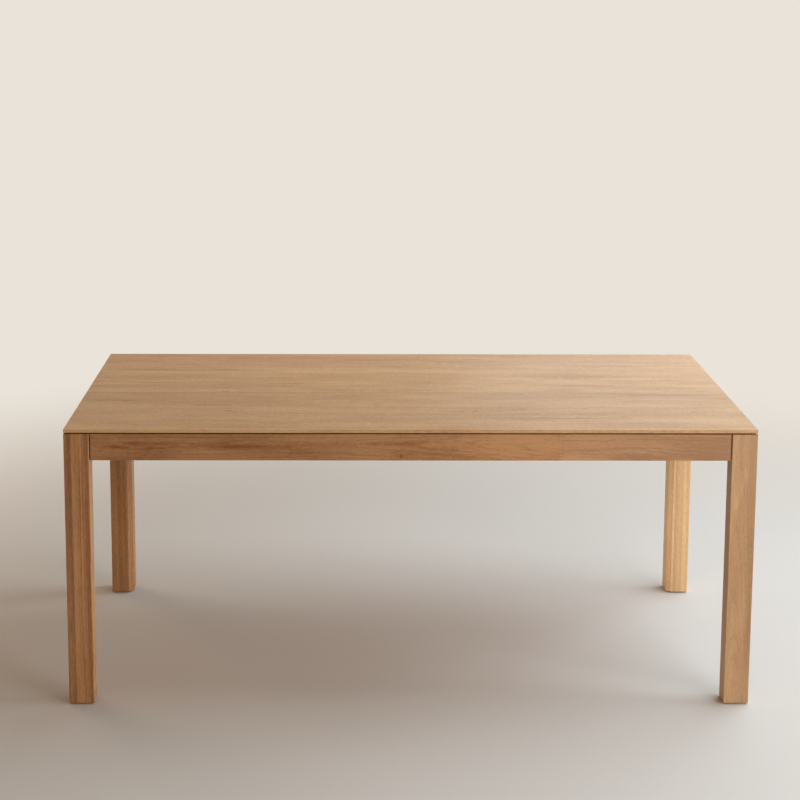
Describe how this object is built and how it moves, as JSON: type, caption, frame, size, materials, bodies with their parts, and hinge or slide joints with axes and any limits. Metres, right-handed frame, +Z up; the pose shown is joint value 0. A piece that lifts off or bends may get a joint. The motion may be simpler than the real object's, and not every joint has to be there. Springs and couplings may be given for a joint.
{
  "type": "dining table",
  "caption": "Rectangular wooden dining table: a thin glued-up top over a shadow gap, square corner legs flush with its edges, and aprons between them.",
  "frame": {"origin": "on the floor under the middle of the table", "axes": "+X along the length, +Y from front to back, +Z up"},
  "size_m": [1.8, 0.9, 0.75],
  "materials": {
    "oak_top": "satin hard-wax oil, grain along the length",
    "oak_frame": "satin hard-wax oil, grain along each piece",
    "bracket_steel": "zinc-plated sheet",
    "zinc_steel": "bright zinc plate",
    "glide_nylon": "matt brown nylon"
  },
  "bodies": {
    "root": {"back_apron_long_board": "oak_frame", "back_apron_short_board": "oak_frame", "back_left_corner_bracket": "bracket_steel", "back_left_leg_core_stave": "oak_frame", "back_left_leg_inner_stave": "oak_frame", "back_left_leg_outer_stave": "oak_frame", "back_right_corner_bracket": "bracket_steel", "back_right_leg_core_stave": "oak_frame", "back_right_leg_inner_stave": "oak_frame", "back_right_leg_outer_stave": "oak_frame", "bolt_nuts": "zinc_steel", "bolt_washers": "zinc_steel", "bracket_screws": "zinc_steel", "clip_screws": "zinc_steel", "foot_glides": "glide_nylon", "front_apron_long_board": "oak_frame", "front_apron_short_board": "oak_frame", "front_left_corner_bracket": "bracket_steel", "front_left_leg_core_stave": "oak_frame", "front_left_leg_inner_stave": "oak_frame", "front_left_leg_outer_stave": "oak_frame", "front_right_corner_bracket": "bracket_steel", "front_right_leg_core_stave": "oak_frame", "front_right_leg_inner_stave": "oak_frame", "front_right_leg_outer_stave": "oak_frame", "glide_nails": "zinc_steel", "hanger_bolts": "zinc_steel", "left_apron": "oak_frame", "left_cross_rail": "oak_frame", "middle_cross_rail": "oak_frame", "rail_screws": "zinc_steel", "right_apron": "oak_frame", "right_cross_rail": "oak_frame", "top_board_01": "oak_top", "top_board_02": "oak_top", "top_board_03": "oak_top", "top_board_04": "oak_top", "top_board_05": "oak_top", "top_board_06": "oak_top", "top_board_07": "oak_top", "top_board_08": "oak_top", "top_board_09": "oak_top", "top_board_10": "oak_top", "top_clips": "zinc_steel"}
  },
  "joints": []
}
